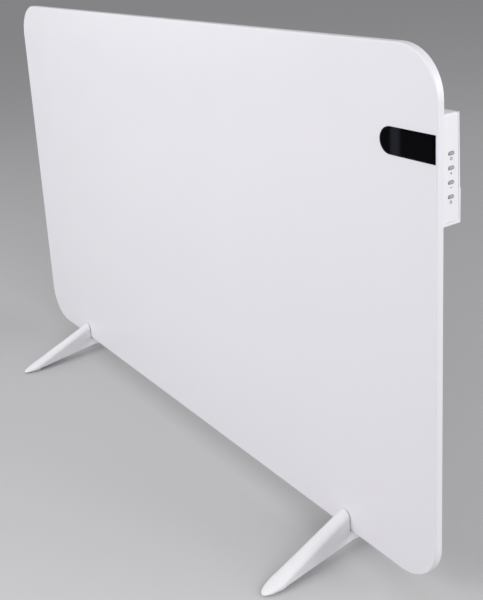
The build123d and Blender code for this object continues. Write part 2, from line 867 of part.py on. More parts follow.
# Cord inlet: a flanged bushing through the cover, with a hexagon nut inside
inlet_bore_radius = 3.5
inlet_flange_radius = 8.5
inlet_flange = 2.6
inlet_flange_edge = 1.2
inlet_front = 20
nut_radius = 9.2
nut_thickness = 4
nut_gap = 0.1
with BuildPart() as inlet_bushing:
    with BuildSketch(upright(terminal_back)):
        with Locations(inlet_spot):
            Circle(inlet_flange_radius)
    extrude(amount=-inlet_flange)
    chamfer(inlet_bushing.faces().sort_by(Axis.Y)[-1].edges(), length=inlet_flange_edge)
    with BuildSketch(upright(terminal_back)):
        with Locations(inlet_spot):
            Circle(inlet_radius)
    extrude(amount=terminal_back - inlet_front)
    with BuildSketch(upright(terminal_back + inlet_flange)):
        with Locations(inlet_spot):
            Circle(inlet_bore_radius)
    extrude(amount=terminal_back + inlet_flange - inlet_front, mode=Mode.SUBTRACT)
inlet_bushing.part.label = "inlet_bushing"
export_step(inlet_bushing.part, "parts/inlet_bushing.step")

with BuildPart() as inlet_nut:
    with BuildSketch(upright(inlet_seat)):
        with Locations(inlet_spot):
            RegularPolygon(nut_radius, 6)
            Circle(inlet_radius + nut_gap, mode=Mode.SUBTRACT)
    extrude(amount=nut_thickness)
inlet_nut.part.label = "inlet_nut"
export_step(inlet_nut.part, "parts/inlet_nut.step")

# Room temperature sensor above the floor vents, on two legs bent to the power board
sensor_z = 254.5
sensor_radius = 2
sensor_length = 8
leg_side = 0.8
leg_pitch = 3
leg_length = 24
with BuildPart() as room_sensor:
    with BuildSketch(Plane.YZ.offset(sensor_x - sensor_length / 2)):
        with Locations((sensor_y, sensor_z)):
            Circle(sensor_radius)
    extrude(amount=sensor_length)
    with BuildSketch(Plane.XY.offset(sensor_z)):
        with Locations((sensor_x, sensor_y)):
            with GridLocations(leg_pitch, 0, 2, 1):
                Rectangle(leg_side, leg_side)
    extrude(amount=leg_length + leg_side)
    with BuildSketch(upright(sensor_y + leg_side / 2)):
        with Locations((sensor_x, sensor_z + leg_length + leg_side / 2)):
            with GridLocations(leg_pitch, 0, 2, 1):
                Rectangle(leg_side, leg_side)
    extrude(amount=sensor_y + leg_side / 2 - power_board_back)
room_sensor.part.label = "room_sensor"
export_step(room_sensor.part, "parts/room_sensor.step")

# Rubber grommet through the casing's bay wall and the shell's left wall
grommet_flange_radius = 4.1
grommet_flange = 1
grommet_bore_radius = 2.5
grommet_fit = 0.1
grommet_left = bay_left - casing_sheet
grommet_right = box_left + box_wall
with BuildPart() as lead_grommet:
    for start, length, radius in (
        (grommet_left - grommet_flange, grommet_flange, grommet_flange_radius),
        (grommet_left, grommet_right - grommet_left, grommet_hole_radius - grommet_fit),
        (grommet_right, grommet_flange, grommet_flange_radius),
    ):
        with BuildSketch(Plane.YZ.offset(start)):
            with Locations((grommet_y, grommet_z)):
                Circle(radius)
        extrude(amount=length)
    with BuildSketch(Plane.YZ.offset(grommet_left - grommet_flange)):
        with Locations((grommet_y, grommet_z)):
            Circle(grommet_bore_radius)
    extrude(amount=grommet_right - grommet_left + 2 * grommet_flange, mode=Mode.SUBTRACT)
lead_grommet.part.label = "lead_grommet"
export_step(lead_grommet.part, "parts/lead_grommet.step")

# Element leads: control box to the right end of the track, control box to the cut-out, and the
# cut-out to the left end of the track, all behind the insulation
lead_radius = 1
lead_sides = 6
lead_bend = 4
lead_split = 1.3
lead_start_x = 197
lead_turn_x = 181.5
lead_y = 16.6
blade_top = cutout_spot[1] + blade_width / 2
left_end, right_end = terminal_spots
right_blade_x = cutout_spot[0] + blade_spacing / 2
left_blade_x = cutout_spot[0] - blade_spacing / 2
lead_routes = [
    [
        (lead_start_x, lead_y, grommet_z - lead_split),
        (lead_turn_x, lead_y, grommet_z - lead_split),
        (lead_turn_x, lead_y, right_end[1]),
        (right_end[0], lead_y, right_end[1]),
        (right_end[0], track_back, right_end[1]),
    ],
    [
        (lead_start_x, lead_y, grommet_z + lead_split),
        (right_blade_x, lead_y, grommet_z + lead_split),
        (right_blade_x, lead_y, blade_top),
    ],
    [
        (left_blade_x, lead_y, blade_top),
        (left_blade_x, lead_y, left_end[1]),
        (left_end[0], lead_y, left_end[1]),
        (left_end[0], track_back, left_end[1]),
    ],
]
with BuildPart() as element_leads:
    for route in lead_routes:
        with BuildLine() as lead_path:
            FilletPolyline(*route, radius=lead_bend)
        with BuildSketch(Plane(origin=lead_path.line @ 0, z_dir=lead_path.line % 0)):
            RegularPolygon(lead_radius, lead_sides)
        sweep(path=lead_path.line)
element_leads.part.label = "element_leads"
export_step(element_leads.part, "parts/element_leads.step")

# Feet: each foot is a front fin and a rear fin that meet under the glass. The rear fin's tongue
# goes into the front fin's socket, and one screw from below holds them.
tongue_length = 14
tongue_width = 6
tongue_low = 11.6
tongue_high = 15.6
tongue_gap = 0.15
screw_y = 8
foot_screw_hole = 1.6
foot_screw_head = 2.8
foot_screw_depth = 5
seat_z = floor_gap - liner_thickness
slot_face = panel_back + liner_thickness


def fin_section(y, narrow=1.0):
    """The fin's upright section at depth y from the middle of the glass, drawn narrower by a share.

    The sole is flat with bevelled edges and the crown is half an ellipse.
    """
    along = y / foot_length
    low = root_sole + (toe_sole - root_sole) * along
    high = root_ridge + (toe_ridge - root_ridge) * along
    half = narrow * (root_width + (toe_width - root_width) * along) / 2
    crown = min(half, crown_share * (high - low))
    bevel = min(sole_bevel, crown / 2)
    with BuildSketch() as section:
        with BuildLine():
            ridge = EllipticalCenterArc((0, high - crown), half, crown, arc_size=180)
            Polyline(
                ridge @ 1,
                (-half, low + bevel),
                (bevel - half, low),
                (half - bevel, low),
                (half, low + bevel),
                ridge @ 0,
            )
        make_face()
    return section.sketch


def make_fin(x, end):
    """One fin at x, towards the front (end = -1) or the rear (end = 1), without its fixing.

    Its width follows half an ellipse over the last part, so that the toe is round from above.
    """
    with BuildPart() as fin:
        for y in (0, foot_length - nose_length):
            with BuildSketch(upright(end * y)):
                with Locations((x, 0)):
                    add(fin_section(y))
        loft(ruled=True)
        for turn in nose_turns:
            y = foot_length - nose_length * (1 - sin(radians(turn)))
            with BuildSketch(upright(end * y)):
                with Locations((x, 0)):
                    add(fin_section(y, cos(radians(turn))))
        loft()
        with BuildSketch(Plane.YZ.offset(x - root_width)):
            with Locations((0, seat_z)):
                Rectangle(2 * slot_face, panel_height, align=(Align.CENTER, Align.MIN))
        extrude(amount=2 * root_width, mode=Mode.SUBTRACT)
        with BuildSketch():
            with Locations((x, end * pad_y)):
                Rectangle(pad_width, pad_length)
        extrude(amount=pad_thickness, mode=Mode.SUBTRACT)
    return fin.part


foot_screw_low = root_sole + (toe_sole - root_sole) * screw_y / foot_length
for side, x in (("left", -foot_x), ("right", foot_x)):
    with BuildPart() as front_foot:
        add(make_fin(x, -1))
        with BuildSketch(upright(0)):
            with Locations((x, tongue_low - tongue_gap)):
                Rectangle(
                    tongue_width + 2 * tongue_gap,
                    tongue_high - tongue_low + 2 * tongue_gap,
                    align=(Align.CENTER, Align.MIN),
                )
        extrude(amount=tongue_length + tongue_gap, mode=Mode.SUBTRACT)
        with Locations(Plane(origin=(x, -screw_y, foot_screw_low), z_dir=(0, 0, -1))):
            CounterSinkHole(foot_screw_hole, foot_screw_head, depth=foot_screw_depth)
    front_foot.part.label = f"{side}_front_foot"
    export_step(front_foot.part, f"parts/{side}_front_foot.step")

    with BuildPart() as rear_foot:
        add(make_fin(x, 1))
        with BuildSketch(upright(0)):
            with Locations((x, tongue_low)):
                Rectangle(tongue_width, tongue_high - tongue_low, align=(Align.CENTER, Align.MIN))
        extrude(amount=tongue_length)
        with BuildSketch(Plane.XY.offset(tongue_low)):
            with Locations((x, -screw_y)):
                Circle(foot_screw_bore)
        extrude(amount=tongue_high - tongue_low, mode=Mode.SUBTRACT)
    rear_foot.part.label = f"{side}_rear_foot"
    export_step(rear_foot.part, f"parts/{side}_rear_foot.step")

    # Soft liner between the foot and the plate's lower edge
    with BuildPart() as foot_liner:
        with BuildSketch(upright(slot_face)):
            with Locations((x, seat_z)):
                Rectangle(root_width - 2 * liner_inset, liner_height, align=(Align.CENTER, Align.MIN))
        extrude(amount=2 * slot_face)
        with BuildSketch(Plane.YZ.offset(x - root_width)):
            with Locations((0, floor_gap)):
                Rectangle(panel_thickness, panel_height, align=(Align.CENTER, Align.MIN))
        extrude(amount=2 * root_width, mode=Mode.SUBTRACT)
    foot_liner.part.label = f"{side}_foot_liner"
    export_step(foot_liner.part, f"parts/{side}_foot_liner.step")

    # Rubber pads under the toes
    for end, place in ((-1, "front"), (1, "rear")):
        with BuildPart() as foot_pad:
            with BuildSketch():
                with Locations((x, end * pad_y)):
                    Rectangle(pad_width, pad_length)
            extrude(amount=pad_thickness)
        foot_pad.part.label = f"{side}_{place}_pad"
        export_step(foot_pad.part, f"parts/{side}_{place}_pad.step")

# Foot screws, countersunk, driven from below
foot_screw_sunk = 0.2
foot_screw_cone = 1.3
foot_screw_taper = 45
foot_screw_head_radius = 2.5
foot_screw_end = 0.4
foot_screw_start = foot_screw_low + foot_screw_sunk
with BuildPart() as foot_screws:
    for x in (-foot_x, foot_x):
        with BuildSketch(Plane.XY.offset(foot_screw_start)):
            with Locations((x, -screw_y)):
                Circle(foot_screw_head_radius)
        extrude(amount=foot_screw_cone, taper=foot_screw_taper)
        with BuildSketch(Plane.XY.offset(foot_screw_start)):
            with Locations((x, -screw_y)):
                RegularPolygon(foot_screw_bore - screw_thread_gap, shank_sides)
        extrude(amount=tongue_high - foot_screw_end - foot_screw_start)
foot_screws.part.label = "foot_screws"
export_step(foot_screws.part, "parts/foot_screws.step")
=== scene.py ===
import json
import math

import bpy
import numpy as np
from mathutils import Matrix, Vector


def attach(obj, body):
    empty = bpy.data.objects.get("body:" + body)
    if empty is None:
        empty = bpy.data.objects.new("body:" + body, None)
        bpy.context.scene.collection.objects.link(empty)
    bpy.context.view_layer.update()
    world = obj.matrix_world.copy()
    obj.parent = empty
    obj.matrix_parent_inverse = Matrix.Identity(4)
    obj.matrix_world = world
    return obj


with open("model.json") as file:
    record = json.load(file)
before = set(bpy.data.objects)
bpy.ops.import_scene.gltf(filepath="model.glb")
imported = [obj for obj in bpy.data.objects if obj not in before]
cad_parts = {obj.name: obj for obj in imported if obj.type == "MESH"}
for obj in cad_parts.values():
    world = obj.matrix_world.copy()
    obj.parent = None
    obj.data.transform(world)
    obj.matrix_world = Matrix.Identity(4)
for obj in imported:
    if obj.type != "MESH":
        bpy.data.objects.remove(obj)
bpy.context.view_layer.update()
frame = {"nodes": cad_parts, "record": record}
record = frame["record"]
print("frame loaded with", len(frame["nodes"]), "nodes")

scene = bpy.context.scene
millimetre = 0.001

# Camera: where the photograph was taken from
photoCamera = {
    "place": (0.6113, -0.3541, 0.4231),  # metres, right of and in front of the heater
    "heading": 55.625,  # degrees, turned left from looking along +Y
    "pitch": -15.313,  # degrees, looking down
    "roll": -3.243,  # degrees
    "lens": 53.992,  # millimetres
    "sensor": 36.0,  # millimetres
    "shiftUp": -0.2111,  # share of the picture's height
    "nearest": 0.01,  # metres, nothing closer is drawn
}


def makeCamera(settings):  # heading about Z, then pitch, then roll about the line of sight
    data = bpy.data.cameras.new("photoCamera")
    data.sensor_width = settings["sensor"]
    data.lens = settings["lens"]
    data.shift_y = settings["shiftUp"]
    data.clip_start = settings["nearest"]
    camera = bpy.data.objects.new("photoCamera", data)
    scene.collection.objects.link(camera)
    turn = Matrix.Rotation(math.radians(settings["heading"]), 4, "Z")
    tilt = Matrix.Rotation(math.radians(90 + settings["pitch"]), 4, "X")
    roll = Matrix.Rotation(math.radians(settings["roll"]), 4, "Z")
    camera.matrix_world = Matrix.Translation(settings["place"]) @ turn @ tilt @ roll
    scene.camera = camera


makeCamera(photoCamera)
scene.view_settings.view_transform = "Standard"
print("camera placed")

# Materials: each finish is a principled shader whose small variation comes from noise on object coordinates
noiseLow = 0.3  # nearly all of the noise lies between these two
noiseHigh = 0.7


def newFinish(name, colour, roughness, metallic=0.0):
    material = bpy.data.materials.new(name)
    material.use_nodes = True
    shader = material.node_tree.nodes["Principled BSDF"]
    shader.inputs["Base Color"].default_value = (*colour, 1.0)
    shader.inputs["Roughness"].default_value = roughness
    shader.inputs["Metallic"].default_value = metallic
    return material


def addNoise(tree, scale, detail, stretch):  # noise in object space, its scale in cycles per metre
    nodes, links = tree.nodes, tree.links
    coords = nodes.new("ShaderNodeTexCoord")
    noise = nodes.new("ShaderNodeTexNoise")
    noise.inputs["Scale"].default_value = scale
    noise.inputs["Detail"].default_value = detail
    if stretch:
        mapping = nodes.new("ShaderNodeMapping")
        mapping.inputs["Scale"].default_value = stretch
        links.new(coords.outputs["Object"], mapping.inputs["Vector"])
        links.new(mapping.outputs["Vector"], noise.inputs["Vector"])
    else:
        links.new(coords.outputs["Object"], noise.inputs["Vector"])
    return noise


def addGrain(material, scale, height, detail=2.0, stretch=None):  # bump of a given height in metres
    tree = material.node_tree
    noise = addNoise(tree, scale, detail, stretch)
    bump = tree.nodes.new("ShaderNodeBump")
    bump.inputs["Strength"].default_value = 1.0
    bump.inputs["Distance"].default_value = height
    tree.links.new(noise.outputs["Fac"], bump.inputs["Height"])
    tree.links.new(bump.outputs["Normal"], tree.nodes["Principled BSDF"].inputs["Normal"])


def addMottle(material, toneLow, toneHigh, scale, detail=3.0, stretch=None):  # colour drifts between tones
    tree = material.node_tree
    noise = addNoise(tree, scale, detail, stretch)
    ramp = tree.nodes.new("ShaderNodeValToRGB")
    stops = ramp.color_ramp.elements
    for stop, position, tone in zip(stops, (noiseLow, noiseHigh), (toneLow, toneHigh)):
        stop.position = position
        stop.color = (*tone, 1.0)
    tree.links.new(noise.outputs["Fac"], ramp.inputs["Fac"])
    tree.links.new(ramp.outputs["Color"], tree.nodes["Principled BSDF"].inputs["Base Color"])


def addRoughness(material, low, high, scale, detail=3.0, stretch=None):  # roughness drifts too
    tree = material.node_tree
    noise = addNoise(tree, scale, detail, stretch)
    spread = tree.nodes.new("ShaderNodeMapRange")
    spread.inputs["From Min"].default_value = noiseLow
    spread.inputs["From Max"].default_value = noiseHigh
    spread.inputs["To Min"].default_value = low
    spread.inputs["To Max"].default_value = high
    tree.links.new(noise.outputs["Fac"], spread.inputs["Value"])
    tree.links.new(spread.outputs["Result"], tree.nodes["Principled BSDF"].inputs["Roughness"])


def mixColours(tree, first, second, share):  # the first colour where share is 0, the second where it is 1
    mix = tree.nodes.new("ShaderNodeMix")
    mix.data_type = "RGBA"
    mix.inputs["A"].default_value = (*first, 1.0)
    mix.inputs["B"].default_value = (*second, 1.0)
    tree.links.new(share, mix.inputs["Factor"])
    return mix.outputs["Result"]


# White skins: patches and grains are counted per metre, the height of a grain is in metres
glassCoat = {  # opaque white coating on the plate, nearly even
    "name": "coatedGlass",
    "colour": (0.812, 0.802, 0.843),
    "tones": ((0.806, 0.797, 0.838), (0.818, 0.807, 0.848)),
    "patches": 9.0,
    "roughness": 0.34,
    "roughRange": (0.30, 0.40),
    "roughPatches": 30.0,
    "grains": 900.0,
    "grainHeight": 0.000004,
    "grainDetail": 2.0,
}
powderCoat = {  # orange-peel skin of the sheet casing
    "name": "powderCoat",
    "colour": (0.78, 0.78, 0.79),
    "tones": ((0.77, 0.77, 0.782), (0.79, 0.79, 0.80)),
    "patches": 14.0,
    "roughness": 0.42,
    "roughRange": (0.36, 0.50),
    "roughPatches": 90.0,
    "grains": 750.0,
    "grainHeight": 0.00004,
    "grainDetail": 1.0,
}
mouldedWhite = {  # fine spark-eroded texture of white mouldings
    "name": "mouldedWhite",
    "colour": (0.82, 0.815, 0.84),
    "tones": ((0.812, 0.806, 0.832), (0.828, 0.823, 0.848)),
    "patches": 25.0,
    "roughness": 0.48,
    "roughRange": (0.42, 0.54),
    "roughPatches": 160.0,
    "grains": 2600.0,
    "grainHeight": 0.000012,
    "grainDetail": 2.0,
}


def whiteSkin(settings):  # tone, roughness and bump each follow a noise of their own
    finish = newFinish(settings["name"], settings["colour"], settings["roughness"])
    addMottle(finish, *settings["tones"], settings["patches"])
    addRoughness(finish, *settings["roughRange"], settings["roughPatches"])
    addGrain(finish, settings["grains"], settings["grainHeight"], settings["grainDetail"])
    return finish


# Display lens: polished tinted acrylic, with a painted reflection near its round end: a paler upright band
# in its base colour that stands in for a lamp reflected in the lens
lens = {
    "black": (0.0020, 0.0019, 0.0026),
    # painted reflection: the paler tone of the upright band stands in for a lamp reflected in the lens
    "reflectionTone": (0.0156, 0.0164, 0.0206),
    "reflectionMiddle": 0.2541,  # metres right of the heater's middle
    "reflectionHalf": 0.0036,  # half of its width
    "reflectionSoft": 0.0020,  # half of the width of each soft side
    "gloss": 0.02,
    "roughness": 0.06,
    "roughRange": (0.045, 0.085),
    "roughPatches": 120.0,
    "grains": 220.0,
    "grainHeight": 0.0000015,
}


def lensBlackAndPaintedReflection(settings):  # the painted reflection's share is 1 where |x - middle| < half, and falls softly to 0
    finish = newFinish("lensBlackAndPaintedReflection", settings["black"], settings["roughness"])
    tree = finish.node_tree
    shader = tree.nodes["Principled BSDF"]
    shader.inputs["Specular IOR Level"].default_value = settings["gloss"]
    coords = tree.nodes.new("ShaderNodeTexCoord")
    axes = tree.nodes.new("ShaderNodeSeparateXYZ")
    offset = tree.nodes.new("ShaderNodeMath")
    offset.operation = "SUBTRACT"
    offset.inputs[1].default_value = settings["reflectionMiddle"]
    distance = tree.nodes.new("ShaderNodeMath")
    distance.operation = "ABSOLUTE"
    share = tree.nodes.new("ShaderNodeMapRange")
    share.interpolation_type = "SMOOTHSTEP"
    share.inputs["From Min"].default_value = settings["reflectionHalf"] - settings["reflectionSoft"]
    share.inputs["From Max"].default_value = settings["reflectionHalf"] + settings["reflectionSoft"]
    share.inputs["To Min"].default_value = 1.0
    share.inputs["To Max"].default_value = 0.0
    tree.links.new(coords.outputs["Object"], axes.inputs["Vector"])
    tree.links.new(axes.outputs["X"], offset.inputs[0])
    tree.links.new(offset.outputs["Value"], distance.inputs[0])
    tree.links.new(distance.outputs["Value"], share.inputs["Value"])
    # the painted reflection's tone is mixed into the black base colour by this share
    paintedReflectionTone = mixColours(tree, settings["black"], settings["reflectionTone"], share.outputs["Result"])
    tree.links.new(paintedReflectionTone, shader.inputs["Base Color"])
    addRoughness(finish, *settings["roughRange"], settings["roughPatches"])
    addGrain(finish, settings["grains"], settings["grainHeight"])
    return finish


# Plain finishes, one row for each slot: name, colour, roughness, spread of its tones, grains per metre,
# height of a grain in metres, and for some how metallic it is and the way that it is stretched
rolledWay = (1.0, 1.0, 0.06)  # rolling marks run up the sheet
fibreWay = (1.0, 1.0, 0.25)
plainFinishes = {
    "grey_plastic": ("buttonGrey", (0.36, 0.36, 0.37), 0.45, 0.03, 3000.0, 0.000006),
    "black_plastic": ("mattBlack", (0.020, 0.020, 0.022), 0.50, 0.10, 2200.0, 0.00001),
    "black_rubber": ("blackRubber", (0.028, 0.028, 0.028), 0.75, 0.15, 1500.0, 0.00002),
    "grey_rubber": ("greyFoam", (0.30, 0.30, 0.31), 0.90, 0.12, 1200.0, 0.00015),
    "clear_rubber": ("milkySilicone", (0.62, 0.62, 0.62), 0.40, 0.04, 500.0, 0.00001),
    "amber_film": ("amberFilm", (0.45, 0.22, 0.03), 0.25, 0.08, 120.0, 0.00002),
    "foil_track": ("etchedFoil", (0.60, 0.60, 0.62), 0.35, 0.06, 900.0, 0.00001, 1.0),
    "bright_aluminium": ("rolledSheet", (0.78, 0.78, 0.80), 0.22, 0.04, 600.0, 0.00001, 1.0, rolledWay),
    "fibre_board": ("mineralFibre", (0.66, 0.62, 0.50), 0.95, 0.15, 700.0, 0.0004, 0.0, fibreWay),
    "stud_metal": ("turnedAluminium", (0.70, 0.70, 0.72), 0.30, 0.05, 2500.0, 0.000008, 1.0),
    "zinc_steel": ("zincPlate", (0.58, 0.58, 0.60), 0.32, 0.08, 1400.0, 0.000008, 1.0),
    "circuit_board": ("solderResist", (0.020, 0.14, 0.055), 0.30, 0.20, 800.0, 0.00002),
    "lead_sleeve": ("fibreSleeve", (0.50, 0.07, 0.05), 0.80, 0.15, 3500.0, 0.00008),
}
markInkRow = ("markInk", (0.13, 0.13, 0.14), 0.55, 0.06, 2000.0, 0.000004)  # printed button marks
plainTexture = {"patches": 60.0, "roughPatches": 200.0, "roughSpread": 0.15}


def plainFinish(name, colour, roughness, spread, grains, grainHeight, metallic=0.0, stretch=None):
    finish = newFinish(name, colour, roughness, metallic)
    toneLow = tuple(channel * (1 - spread) for channel in colour)
    toneHigh = tuple(min(1.0, channel * (1 + spread)) for channel in colour)
    roughLow = roughness * (1 - plainTexture["roughSpread"])
    roughHigh = min(1.0, roughness * (1 + plainTexture["roughSpread"]))
    addMottle(finish, toneLow, toneHigh, plainTexture["patches"], stretch=stretch)
    addRoughness(finish, roughLow, roughHigh, plainTexture["roughPatches"], stretch=stretch)
    addGrain(finish, grains, grainHeight, stretch=stretch)
    return finish


finishes = {
    "white_glass": whiteSkin(glassCoat),
    "black_lens": lensBlackAndPaintedReflection(lens),
    "white_steel": whiteSkin(powderCoat),
    "white_plastic": whiteSkin(mouldedWhite),
}
for slot, row in plainFinishes.items():
    finishes[slot] = plainFinish(*row)
markInk = plainFinish(*markInkRow)

slotOf = {part["node"]: part["material_slot"] for part in record["subparts"]}
for name, node in frame["nodes"].items():
    node.data.materials.clear()
    node.data.materials.append(finishes[slotOf[name]])
print("finishes given to", len(slotOf), "nodes")

# New pieces: small surfaces worked out on a grid and set on the CAD nodes that carry them
rearView = ((0, 0, 1), (1, 0, 0))  # across and up of a piece that faces +Y
sideView = ((0, 1, 0), (0, 0, 1))  # the same for +X
underView = ((0, 1, 0), (1, 0, 0))  # and for -Z
halfStep = 0.5  # shifts a soft step so that its middle lies on the line


def ringFaces(stations, around, closedPath):  # quads between neighbouring rings of a grid, facing outwards
    steps = np.arange(stations if closedPath else stations - 1)
    i, j = np.meshgrid(steps, np.arange(around), indexing="ij")
    nextI, nextJ = (i + 1) % stations, (j + 1) % around
    corners = [i * around + j, i * around + nextJ, nextI * around + nextJ, nextI * around + j]
    return np.stack(corners, axis=-1).reshape(-1, 4)


def closedShell(rings, first=None, last=None):  # rings of points, closed by two poles or by its path
    stations, around = rings.shape[:2]
    points = rings.reshape(-1, 3)
    faces = ringFaces(stations, around, first is None).tolist()
    if first is not None:
        j = np.arange(around)
        nextJ = (j + 1) % around
        low, high, top = len(points), len(points) + 1, (stations - 1) * around
        points = np.vstack([points, first, last])
        faces += np.stack([np.full(around, low), nextJ, j], axis=-1).tolist()
        faces += np.stack([top + j, top + nextJ, np.full(around, high)], axis=-1).tolist()
    return points, faces


def inMetres(place):
    return tuple(value * millimetre for value in place)


def seatOn(points, centre, across, up):  # local (a, b, c) goes to centre + a across + b up + c outwards
    across, up = np.array(across, float), np.array(up, float)
    axes = np.stack([across, up, np.cross(across, up)])
    return np.array(centre) + points @ axes * millimetre


def makePiece(name, shells, finish, body, sharpAngle=30.0):  # one object that rides on a body
    points, faces, start = [], [], 0
    for shellPoints, shellFaces in shells:
        points.append(shellPoints)
        faces += [[start + index for index in face] for face in shellFaces]
        start += len(shellPoints)
    mesh = bpy.data.meshes.new(name)
    mesh.from_pydata(np.vstack(points).tolist(), [], faces)
    mesh.polygons.foreach_set("use_smooth", np.ones(len(mesh.polygons), bool))
    mesh.set_sharp_from_angle(angle=math.radians(sharpAngle))
    mesh.materials.append(finish)
    piece = bpy.data.objects.new(name, mesh)
    scene.collection.objects.link(piece)
    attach(piece, body)
    return piece


def smoothStep(value):  # 0 below 0, 1 above 1, and a soft S between them
    value = np.clip(value, 0.0, 1.0)
    return value * value * (3.0 - 2.0 * value)


# Screw heads, in millimetres: a low dome with a cross recess over each CAD head
screwHeads = {
    "around": 64,
    "rings": 24,
    "outerRing": 0.96,  # shares of the head's radius
    "innerRing": 0.04,
    "armWidth": 0.13,  # half of an arm's width
    "armLength": 0.60,
    "softness": 0.09,
    "sunk": 0.1,  # how deep the foot of the dome is sunk in the CAD head
    "turns": (12.0, 55.0, 78.0, 31.0),  # degrees that each recess is turned
    "heads": {
        "casingScrewHeads": {
            "size": {"radius": 4.0, "rim": 0.25, "dome": 0.75, "recess": 0.85},
            "view": rearView,
            "places": [(-216, 25.2, 80), (216, 25.2, 80), (-216, 25.2, 288), (144, 25.2, 288)],
        },
        "controlScrewHeads": {
            "size": {"radius": 2.7, "rim": 0.20, "dome": 0.32, "recess": 0.42},
            "view": rearView,
            "places": [(195, 33.65, 256), (265, 33.65, 256), (195, 32.11, 310.6), (265, 32.11, 310.6)],
        },
        "footScrewHeads": {
            "size": {"radius": 2.45, "rim": 0.05, "dome": 0.30, "recess": 0.45},
            "view": underView,
            "places": [(-201.5, -8, 8.25), (201.5, -8, 8.25)],
        },
    },
}


def crossHead(size, turn, settings):
    # Height = rim + dome (1 - r^2) - recess x arm, where r is the share of the radius, and arm is 1 on the
    # two arms of the cross, 0 beside them and soft between
    angle = np.linspace(0.0, 2 * math.pi, settings["around"], endpoint=False)
    inwards = np.linspace(settings["outerRing"], settings["innerRing"], settings["rings"])
    share = np.concatenate([[1.0, 1.0], inwards])[:, None]
    x, y = share * np.cos(angle + math.radians(turn)), share * np.sin(angle + math.radians(turn))
    width, length, soft = settings["armWidth"], settings["armLength"], settings["softness"]
    endX, endY = smoothStep((length - np.abs(x)) / soft), smoothStep((length - np.abs(y)) / soft)
    sideX = smoothStep((width - np.abs(x)) / soft + halfStep)
    sideY = smoothStep((width - np.abs(y)) / soft + halfStep)
    arm = np.maximum(endX * sideY, endY * sideX)
    height = size["rim"] + size["dome"] * (1 - share**2) - size["recess"] * arm
    height[0] = -settings["sunk"]
    height[1] = size["rim"]
    across, up = share * np.cos(angle) * size["radius"], share * np.sin(angle) * size["radius"]
    middle = size["rim"] + size["dome"] - size["recess"]
    return closedShell(np.stack([across, up, height], axis=-1), (0, 0, -settings["sunk"]), (0, 0, middle))


for name, head in screwHeads["heads"].items():
    shells = []
    for place, turn in zip(head["places"], screwHeads["turns"]):
        points, faces = crossHead(head["size"], turn, screwHeads)
        shells.append((seatOn(points, inMetres(place), *head["view"]), faces))
    makePiece(name, shells, finishes["zinc_steel"], "heater")
print("screw heads made")

# Buttons, in millimetres: a soft crown on each push button
buttons = {
    "names": ("mode", "plus", "minus", "power"),
    "heights": (292.275, 283.625, 274.975, 266.325),  # above the floor
    "depth": 24.7,  # behind the middle of the plate
    "top": 270.6,  # right of the heater's middle
    "length": 4.0,
    "width": 1.3,
    "crown": 0.14,
    "sunk": 0.08,
    "steep": 4,  # how quickly the round ends turn into the straight sides
    "around": 48,
    "rings": 8,
    "innerRing": 0.08,  # share of the outline
}


def buttonCrown(settings):
    # An obround drawn inwards in rings: x = share (r cos a + straight tanh(steep cos a)),
    # y = share r sin a, and height = crown (1 - share^2)
    angle = np.linspace(0.0, 2 * math.pi, settings["around"], endpoint=False)
    radius = settings["width"] / 2
    straight = settings["length"] / 2 - radius
    inwards = np.linspace(1.0, settings["innerRing"], settings["rings"])
    share = np.concatenate([[1.0], inwards])[:, None]
    x = share * (radius * np.cos(angle) + straight * np.tanh(settings["steep"] * np.cos(angle)))
    y = share * radius * np.sin(angle)
    height = settings["crown"] * (1 - share**2) * np.ones_like(angle)
    height[0] = -settings["sunk"]  # the outer ring starts inside the button's flat top
    rings = np.stack([x, y, height], axis=-1)
    return closedShell(rings, (0, 0, -settings["sunk"]), (0, 0, settings["crown"]))


for name, z in zip(buttons["names"], buttons["heights"]):
    points, faces = buttonCrown(buttons)
    centre = inMetres((buttons["top"], buttons["depth"], z))
    shells = [(seatOn(points, centre, *sideView), faces)]
    makePiece(name + "Crown", shells, finishes["grey_plastic"], name + "_button")

# Button marks, in millimetres: one small generic sign under each button
buttonMarks = {
    "below": 3.15,  # from the button's middle to the mark's middle
    "face": 270.0,  # right of the heater's middle
    "line": 0.42,
    "thickness": 0.03,
    "sunk": 0.02,
    "radius": 0.80,
    "reach": 0.85,
    "crossLift": 1.2,  # the upright of the plus is this many times as thick
    "ringSpan": (125, 415),  # degrees of the broken ring
    "barLow": 0.1,
    "barPast": 0.15,  # past the reach
    "steps": 40,
}


def inkLine(path, width, low, high, closedPath=False):
    # A flat band from low to high: the path plus and minus half a width along its normal
    path = np.array(path, float)
    if closedPath:
        along = np.roll(path, -1, axis=0) - np.roll(path, 1, axis=0)
    else:
        along = np.gradient(path, axis=0)
    along /= np.linalg.norm(along, axis=1)[:, None]
    normal = np.stack([-along[:, 1], along[:, 0]], axis=-1) * width / 2
    foot, top = np.full((len(path), 1), low), np.full((len(path), 1), high)
    corners = [(path + normal, top), (path - normal, top), (path - normal, foot), (path + normal, foot)]
    rings = np.stack([np.hstack(corner) for corner in corners], axis=1)
    if closedPath:
        return closedShell(rings)
    return closedShell(rings, rings[0].mean(axis=0), rings[-1].mean(axis=0))


def arcPath(radius, start, end, steps, endpoint=True):  # degrees, anticlockwise
    angle = np.radians(np.linspace(start, end, steps, endpoint=endpoint))
    return np.stack([radius * np.cos(angle), radius * np.sin(angle)], axis=-1)


